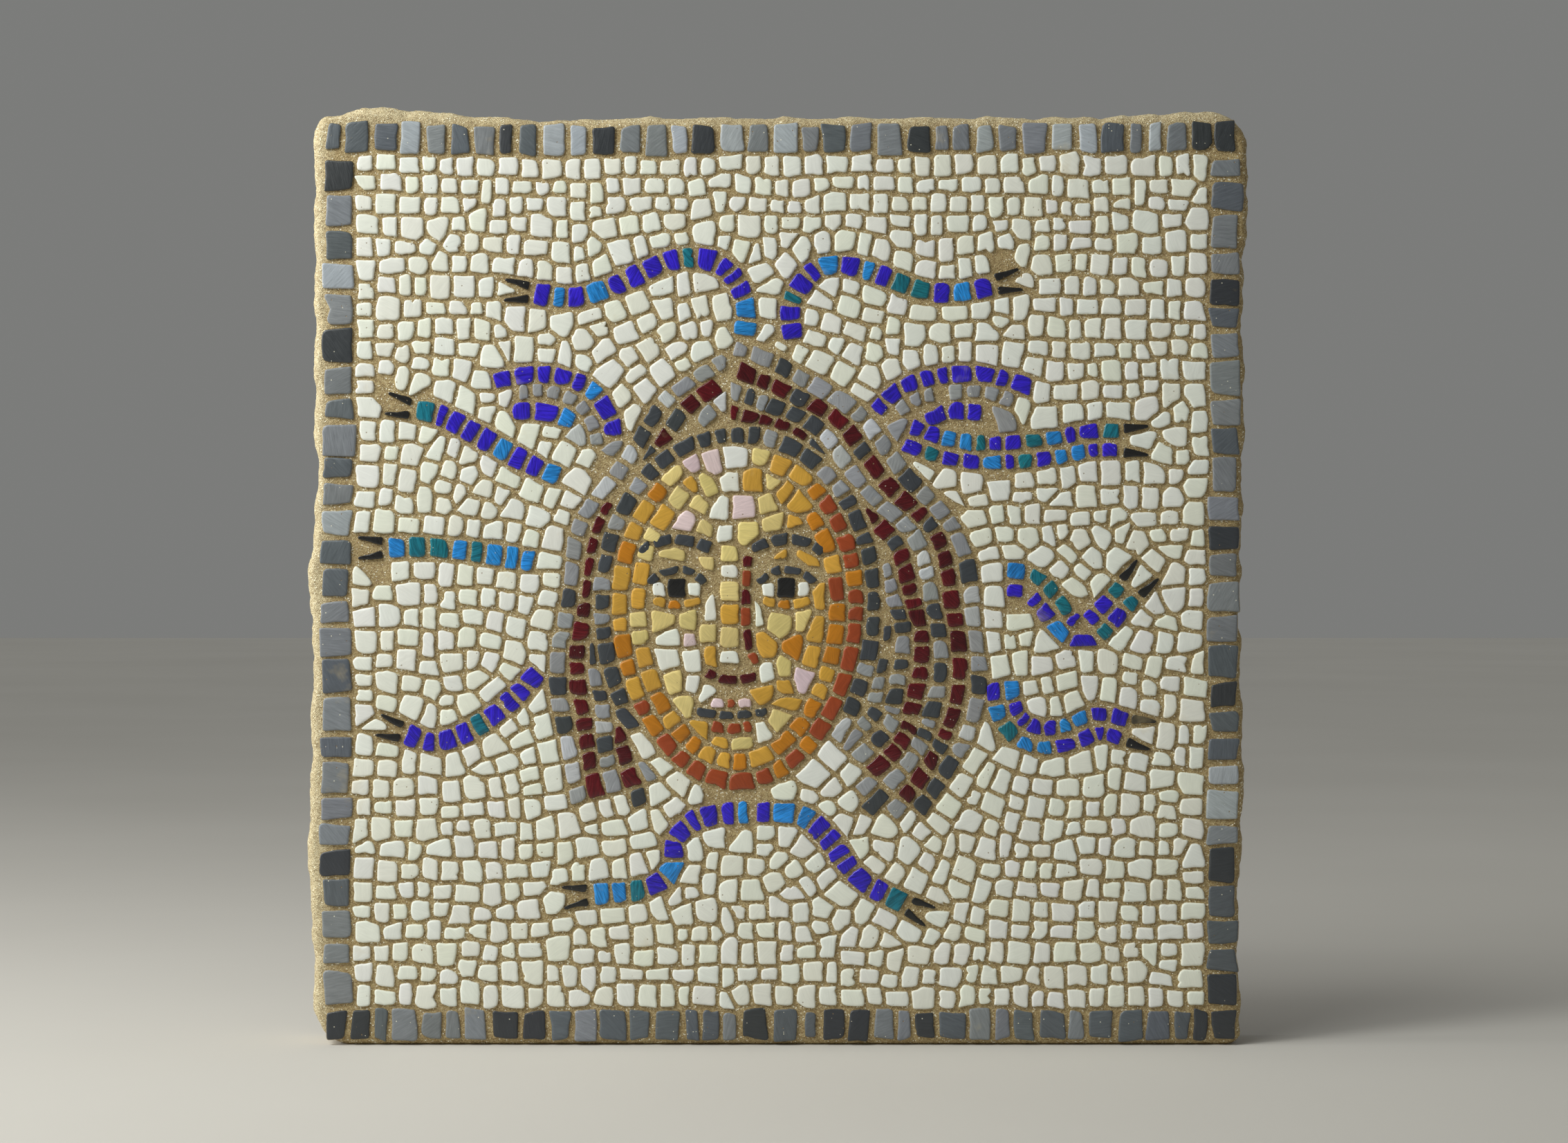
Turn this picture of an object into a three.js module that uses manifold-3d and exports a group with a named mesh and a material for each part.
// Mosaic panel: a square slab of sand and binder, cast in one piece with low raised tesserae on its front.
// Units are millimetres. The front faces -Y, +Z is up, and the origin is the middle of the flat back.
// Every figure is laid in files of four-cornered tesserae along a few-point curve. The small plain
// tesserae of the ground and of the face lie between these files and are part of the painted surface.
import * as THREE from 'three';
import { mergeVertices } from 'three/addons/utils/BufferGeometryUtils.js';
import Module from 'manifold-3d';

// The slab.
const halfWidth = 149.5;
const top = 149.2;
const bottom = -149.5;
const thickness = 22;
const frontRounding = 3;
const backRounding = 0.8;
const cornerRadius = { topLeft: 4.5, topRight: 7, bottomRight: 5, bottomLeft: 12 };
const edgeStep = 9; // from one point of the outline to the next along a side
const cornerSteps = 5;
const roundingSteps = 3;

// The tesserae.
const rise = 0.8; // from the sand to a tessera's top
const root = 1.6; // how far a tessera's solid reaches into the slab
const joint = 1.5;
const frameJoint = 1.7;
const frameDepth = 9.8;
const frameJitter = 0.7;
const frame = { left: -146, right: 148, bottom: -147.8, top: 147 };
const frameLength = { across: 8.0, upLeft: 10.3, upRight: 9.9 };
const singleFile = { width: 6.6, offsets: [0] };
const doubleFile = { width: 4.6, offsets: [-3.1, 3.1] };
const serpentLength = 6.0;
const featherWidth = { blue: 5.2, grey: 4.4 };
const featherLength = { blue: 6.4, grey: 5.2 };
const jaw = { length: 8, apart: 0.5, root: 3.4, tip: 0.9, tipShare: 0.62, spread: 0.14 };
const strandPitch = 6.2; // from one strand of hair to the next
const strandGap = 1.2;
const strandLength = 7.2;
const strandJitter = 0.35;
const strandWave = 1.1;
const partingX = -16;
const fallEnd = -76; // the hair's lowest point
const face = { x: -13, z: -12, halfWidth: 44, halfHeight: 56 };
const hairline = { away: 3, length: 6.4, from: 0.68 * Math.PI, to: -0.66 * Math.PI, points: 17 };
const smallestArea = 9; // a smaller scrap of a tessera is left out

// Where the hand-made edge swells out (+) or dips in (-): its middle, how far, and how wide.
const swells = {
  left: [[-2, 1.9, 13], [-45, 1.0, 20], [-88, 2.0, 24], [34, -1.3, 8]],
  right: [[125, 2.0, 22], [60, 0.8, 18], [-10, -1.0, 18], [-62, 0.6, 14], [-115, -1.3, 26]],
  top: [[-128, 3.4, 13], [-106, 1.2, 10], [-70, -1.0, 14], [132, 1.9, 16]],
  bottom: [],
};
const ripple = { left: 0.3, right: 0.35, top: 0.3, bottom: 0 };

// Each serpent's centre line, from the hair to its head.
const serpents = {
  crownLeft: {
    file: singleFile,
    points: [[-11, 78], [-10.5, 90], [-19, 102], [-34, 103], [-50, 96], [-65, 91], [-79, 92.5]],
  },
  crownRight: {
    file: singleFile,
    points: [[5, 77], [4.5, 90], [14, 101], [28, 100], [44, 94], [57, 92.5], [69, 95]],
  },
  templeLeft: {
    file: singleFile,
    points: [[-70, 33], [-83, 39], [-97, 47], [-108, 53], [-117, 55]],
  },
  cheekLeft: {
    file: singleFile,
    points: [[-78, 6], [-92, 8.5], [-110, 10.5], [-126, 10.5]],
  },
  jawLeft: {
    file: singleFile,
    points: [[-77, -29], [-85, -38], [-97, -47], [-110, -52], [-120, -49]],
  },
  templeRight: {
    file: doubleFile,
    points: [[41, 47], [52, 43], [66, 41], [84, 42], [101, 45], [110, 45]],
  },
  cheekRight: {
    file: doubleFile,
    points: [[73, 0], [81, -1], [88, -8], [93, -15], [99, -17], [105, -12], [113, -3]],
  },
  jawRight: {
    file: doubleFile,
    points: [[72, -32], [74, -43], [81, -50], [92, -50], [103, -46], [112, -48]],
  },
  chinLeft: {
    file: singleFile,
    points: [[-9, -74.5], [-24, -76], [-33, -83], [-34, -93], [-43, -99], [-60, -101]],
  },
  chinRight: {
    file: singleFile,
    points: [[-7.5, -74.5], [7, -75.5], [17, -84], [26, -96], [41, -104]],
  },
};

// The rows of feathers of each wing, from its edge inwards.
const wings = [
  { colour: 'blue', points: [[-92, 64], [-76, 66.5], [-61, 62], [-54, 53], [-53, 46]] },
  { colour: 'blue', points: [[-86, 54.5], [-75, 54.5], [-65, 51]] },
  { colour: 'grey', points: [[-84, 60.6], [-74, 60.8], [-65, 57.5], [-59.5, 50], [-58, 43]] },
  { colour: 'blue', points: [[31, 54], [38, 61], [50, 65.5], [66, 66.5], [82, 62]] },
  { colour: 'blue', points: [[47, 51], [55, 54.5], [66, 54]] },
  { colour: 'grey', points: [[38, 54], [45, 58.5], [56, 60.6], [67, 60.6], [76, 57.5]] },
];

// Each side's outline runs from the parting down to the tip; the raised strands lie at these steps inside it.
const hair = [
  {
    side: -1,
    outline: [
      [-6, 83], [-18, 75], [-36, 61], [-50, 44], [-63, 24],
      [-70, 4], [-73, -24], [-72, -52], [-66, -73],
    ],
    strands: [1, 3, 5],
  },
  {
    side: 1,
    outline: [
      [-26, 82], [-14, 77], [4, 71.5], [22, 60], [40, 41],
      [56, 22], [65, 0], [67, -24], [63, -54], [46, -76],
    ],
    strands: [1, 3, 6],
  },
];

// A repeatable stream of random numbers: each list of tesserae has its own seed.
function makeRandom(seed) {
  let state = (seed * 7919) % 2147483647;
  const draw = (low = 0, high = 1) => {
    state = (state * 16807) % 2147483647;
    return low + ((high - low) * state) / 2147483647;
  };
  for (let warmUp = 0; warmUp < 3; warmUp += 1) draw();
  return draw;
}

// How far the edge of one side stands out at a place along it.
function edgeWave(side, at) {
  const wobble = Math.sin(at / 3.6 + 1) + 0.6 * Math.sin(at / 1.7);
  return swells[side].reduce(
    (sum, [middle, out, spread]) => sum + out * Math.exp(-(((at - middle) / spread) ** 2)),
    ripple[side] * wobble,
  );
}

// The slab's outline, anticlockwise seen from the front: points with their outward normals.
function slabOutline() {
  const corners = [
    { x: -halfWidth, z: bottom, radius: cornerRadius.bottomLeft, from: Math.PI },
    { x: halfWidth, z: bottom, radius: cornerRadius.bottomRight, from: 1.5 * Math.PI },
    { x: halfWidth, z: top, radius: cornerRadius.topRight, from: 0 },
    { x: -halfWidth, z: top, radius: cornerRadius.topLeft, from: 0.5 * Math.PI },
  ];
  const arcs = corners.map(({ x, z, radius, from }) => {
    const centreX = x - Math.sign(x) * radius;
    const centreZ = z - Math.sign(z) * radius;
    return Array.from({ length: cornerSteps + 1 }, (_, step) => {
      const angle = from + (step / cornerSteps) * (Math.PI / 2);
      const normal = new THREE.Vector2(Math.cos(angle), Math.sin(angle));
      return { x: centreX + radius * normal.x, z: centreZ + radius * normal.y, normal };
    });
  });
  const outline = [];
  arcs.forEach((arc, corner) => {
    outline.push(...arc);
    const start = arc[cornerSteps];
    const end = arcs[(corner + 1) % arcs.length][0];
    const isFoot = corner === 0;
    const steps = isFoot ? 1 : Math.round(Math.hypot(end.x - start.x, end.z - start.z) / edgeStep);
    for (let step = 1; step < steps; step += 1) {
      const share = step / steps;
      const x = THREE.MathUtils.lerp(start.x, end.x, share);
      const z = THREE.MathUtils.lerp(start.z, end.z, share);
      outline.push({ x, z, normal: start.normal });
    }
  });
  return outline.map(({ x, z, normal }) => {
    const across = normal.x * edgeWave(normal.x < 0 ? 'left' : 'right', z);
    const up = normal.y * edgeWave(normal.y < 0 ? 'bottom' : 'top', x);
    return { x: x + across, z: z + up, normal };
  });
}

// The slab's section at its edge, from the back to the front: how far inside the outline, and at what depth.
function edgeProfile() {
  const profile = [[backRounding, 0], [0, -backRounding]];
  for (let step = 0; step <= roundingSteps; step += 1) {
    const angle = (step / roundingSteps) * (Math.PI / 2);
    const inset = frontRounding * (1 - Math.cos(angle));
    profile.push([inset, -(thickness - frontRounding + frontRounding * Math.sin(angle))]);
  }
  return profile;
}

function slabGeometry() {
  const outline = slabOutline();
  const profile = edgeProfile();
  const count = outline.length;
  const positions = profile.flatMap(([inset, y]) =>
    outline.flatMap(({ x, z, normal }) => [x - normal.x * inset, y, z - normal.y * inset]));
  const index = [];
  for (let ring = 0; ring < profile.length - 1; ring += 1) {
    for (let k = 0; k < count; k += 1) {
      const a = ring * count + k;
      const b = ring * count + ((k + 1) % count);
      index.push(a, b, b + count, a, b + count, a + count);
    }
  }
  const ringPoints = (ring) => outline.map(({ x, z, normal }) =>
    new THREE.Vector2(x - normal.x * profile[ring][0], z - normal.y * profile[ring][0]));
  THREE.ShapeUtils.triangulateShape(ringPoints(0), []).forEach(([a, b, c]) => index.push(a, c, b));
  const front = (profile.length - 1) * count;
  THREE.ShapeUtils.triangulateShape(ringPoints(profile.length - 1), []).forEach(([a, b, c]) =>
    index.push(front + a, front + b, front + c));
  const geometry = new THREE.BufferGeometry();
  geometry.setAttribute('position', new THREE.Float32BufferAttribute(positions, 3));
  geometry.setIndex(index);
  return geometry;
}

// A point of a smooth curve at a length along it, moved sideways to the left of its direction.
function beside(curve, length, sideways) {
  const share = THREE.MathUtils.clamp(length / curve.getLength(), 0, 1);
  const point = curve.getPointAt(share);
  const tangent = curve.getTangentAt(share);
  return new THREE.Vector2(point.x - tangent.y * sideways, point.y + tangent.x * sideways);
}

// Whether a tessera is convex and no mere scrap, as it isn't where a file turns too tightly.
function isWhole(tessera) {
  const turnsLeft = tessera.every((corner, k) => {
    const next = tessera[(k + 1) % 4];
    const afterNext = tessera[(k + 2) % 4];
    return next.clone().sub(corner).cross(afterNext.clone().sub(next)) > 0;
  });
  return turnsLeft && THREE.ShapeUtils.area(tessera) > smallestArea;
}

// One file of four-cornered tesserae along a curve: they differ in length, width and squareness.
function layFile(points, { width, length, gap = joint, offset = () => 0, jitter = 0.25 }, random) {
  const curve = new THREE.SplineCurve(points.map(([x, z]) => new THREE.Vector2(x, z)));
  const total = curve.getLength();
  const count = Math.max(1, Math.round(total / length));
  const shares = Array.from({ length: count }, () => random(0.72, 1.28));
  const sum = shares.reduce((a, b) => a + b, 0);
  let start = 0;
  return shares.map((share) => {
    const end = start + (total * share) / sum;
    const half = (width / 2) * random(0.88, 1.08);
    const corners = [[start + gap / 2, -1], [end - gap / 2, -1], [end - gap / 2, 1], [start + gap / 2, 1]];
    const tessera = corners.map(([at, side]) => {
      const corner = beside(curve, at, offset(at) + side * half);
      return corner.add(new THREE.Vector2(random(-jitter, jitter), random(-jitter, jitter)));
    });
    start = end;
    return tessera;
  }).filter(isWhole);
}

// The frame: one course of large tesserae that follows the edge of each side.
function frameTesserae() {
  const random = makeRandom(21);
  const half = frameDepth / 2;
  const follow = 0.7; // how much of the edge's swells the course follows
  const alongX = (side, z, out) => [frame.left + half, -70, 0, 70, frame.right - half].map((x) =>
    [x, z + out * follow * edgeWave(side, x)]);
  const alongZ = (side, x, out) => [-137, -90, -45, 0, 45, 90, 136].map((z) =>
    [x + out * follow * edgeWave(side, z), z]);
  const extend = (points, reach) => {
    points[0][0] -= reach;
    points[points.length - 1][0] += reach;
    return points;
  };
  const sides = [
    [extend(alongX('top', frame.top - half, 1), half), frameLength.across],
    [extend(alongX('bottom', frame.bottom + half, -1), half), frameLength.across],
    [alongZ('left', frame.left + half, -1), frameLength.upLeft],
    [alongZ('right', frame.right - half, 1), frameLength.upRight],
  ];
  return sides.flatMap(([points, length]) =>
    layFile(points, { width: frameDepth - 0.4, length, gap: frameJoint, jitter: frameJitter }, random));
}

// The two jaws of a serpent's open mouth, past the end of its body.
function serpentJaws(points, width) {
  const end = new THREE.Vector2(...points[points.length - 1]);
  const before = new THREE.Vector2(...points[points.length - 2]);
  const heading = end.clone().sub(before).angle();
  return [-1, 1].map((side) => {
    const turn = heading + side * jaw.spread;
    const along = new THREE.Vector2(Math.cos(turn), Math.sin(turn));
    const across = new THREE.Vector2(-along.y, along.x).multiplyScalar(side);
    const place = (forward, sideways) =>
      end.clone().addScaledVector(along, forward).addScaledVector(across, sideways);
    const tip = (width / 2) * jaw.tipShare;
    const tessera = [
      place(joint, Math.max(jaw.apart, width / 2 - jaw.root)),
      place(joint + jaw.length, tip - jaw.tip / 2),
      place(joint + jaw.length, tip + jaw.tip / 2),
      place(joint, width / 2),
    ];
    return side > 0 ? tessera : tessera.reverse();
  });
}

function serpentTesserae() {
  const random = makeRandom(11);
  return Object.values(serpents).flatMap(({ file, points }) => {
    const body = file.offsets.flatMap((sideways) =>
      layFile(points, { width: file.width, length: serpentLength, offset: () => sideways }, random));
    const full = file.width + 2 * Math.max(...file.offsets);
    return [...body, ...serpentJaws(points, full)];
  });
}

function wingTesserae() {
  const random = makeRandom(12);
  return wings.flatMap(({ colour, points }) =>
    layFile(points, { width: featherWidth[colour], length: featherLength[colour] }, random));
}

// The part of a convex tessera that lies on the outward side of a line.
function trim(tessera, point, outward) {
  const height = (corner) => corner.clone().sub(point).dot(outward);
  return tessera.flatMap((corner, k) => {
    const before = tessera[(k + tessera.length - 1) % tessera.length];
    const [from, to] = [height(before), height(corner)];
    const crossing = (from > 0) !== (to > 0) ? [before.clone().lerp(corner, from / (from - to))] : [];
    return to > 0 ? [...crossing, corner] : crossing;
  });
}

function middle(tessera) {
  return tessera.reduce((sum, corner) => sum.add(corner), new THREE.Vector2()).divideScalar(tessera.length);
}

// The egg-shaped face narrows towards the chin: how wide it is, as a share, in a direction from its middle.
function narrowing(upward) {
  return 0.93 + 0.07 * upward;
}

function faceEdge(angle, away) {
  const across = (face.halfWidth + away) * Math.sin(angle) * narrowing(Math.cos(angle));
  return [face.x + across, face.z + (face.halfHeight + away) * Math.cos(angle)];
}

// Cuts a tessera back from the face, so that it ends a margin away from the face's edge.
function trimToFace(tessera, margin) {
  const centre = middle(tessera);
  const away = new THREE.Vector2(centre.x - face.x, centre.y - face.z);
  const direction = away.clone().divide(new THREE.Vector2(face.halfWidth, face.halfHeight)).normalize();
  const halfWide = (face.halfWidth + margin) * narrowing(direction.y);
  const half = new THREE.Vector2(halfWide, face.halfHeight + margin);
  const onCircle = away.clone().divide(half).normalize();
  const edge = onCircle.clone().multiply(half).add(new THREE.Vector2(face.x, face.z));
  return trim(tessera, edge, onCircle.divide(half).normalize());
}

// The course that frames the face, and the raised strands of hair, which lie side by side inside the
// hair's outline and are cut off at the face, the parting and the tips.
function hairTesserae() {
  const random = makeRandom(31);
  const edge = Array.from({ length: hairline.points }, (_, k) =>
    faceEdge(THREE.MathUtils.lerp(hairline.from, hairline.to, k / (hairline.points - 1)), hairline.away));
  const width = strandPitch - strandGap;
  const frameOfFace = layFile(edge, { width, length: hairline.length, jitter: strandJitter }, random);
  const strands = hair.flatMap(({ side, outline, strands: steps }) => steps.flatMap((step) => {
    const inward = (step + 0.5) * strandPitch * -side;
    const offset = (at) => inward + strandWave * Math.sin(at / 8 + step * 0.5);
    const parting = new THREE.Vector2(partingX + (side * joint) / 2, 0);
    const tip = new THREE.Vector2(0, fallEnd + step * 1.5);
    return layFile(outline, { width, length: strandLength, offset, jitter: strandJitter }, random)
      .map((tessera) => trim(tessera, parting, new THREE.Vector2(side, 0)))
      .map((tessera) => trim(tessera, tip, new THREE.Vector2(0, 1)))
      .filter((tessera) => tessera.length > 2)
      .map((tessera) => trimToFace(tessera, hairline.away + (strandPitch + joint) / 2))
      .filter((tessera) => tessera.length > 2 && THREE.ShapeUtils.area(tessera) > smallestArea);
  }));
  return [...frameOfFace, ...strands];
}

// A tessera's solid: its four corners raised from inside the slab to just above the sand.
function raise(tessera) {
  const shape = new THREE.Shape(tessera);
  const geometry = new THREE.ExtrudeGeometry(shape, { depth: root + rise, bevelEnabled: false });
  geometry.rotateX(Math.PI / 2);
  geometry.translate(0, root - thickness, 0);
  return geometry;
}

function toSolid(wasm, geometry) {
  const bare = geometry.clone();
  bare.deleteAttribute('normal');
  bare.deleteAttribute('uv');
  const merged = mergeVertices(bare, 1e-3);
  const vertProperties = new Float32Array(merged.attributes.position.array);
  const triVerts = new Uint32Array(merged.index.array);
  return new wasm.Manifold(new wasm.Mesh({ numProp: 3, vertProperties, triVerts }));
}

function toGeometry(solid) {
  const mesh = solid.getMesh();
  const geometry = new THREE.BufferGeometry();
  geometry.setAttribute('position', new THREE.BufferAttribute(new Float32Array(mesh.vertProperties), 3));
  geometry.setIndex(new THREE.BufferAttribute(new Uint32Array(mesh.triVerts), 1));
  geometry.computeVertexNormals();
  return geometry;
}

const wasm = await Module();
wasm.setup();

const tesserae = [...frameTesserae(), ...serpentTesserae(), ...wingTesserae(), ...hairTesserae()];
const panelSolid = tesserae.reduce(
  (solid, tessera) => solid.add(toSolid(wasm, raise(tessera))),
  toSolid(wasm, slabGeometry()),
);

const sand = new THREE.MeshStandardMaterial({ color: 0xa58755, roughness: 0.95, metalness: 0 });
const panel = new THREE.Mesh(toGeometry(panelSolid), sand);
panel.name = 'mosaic_panel';

const group = new THREE.Group();
group.add(panel);

export default group;
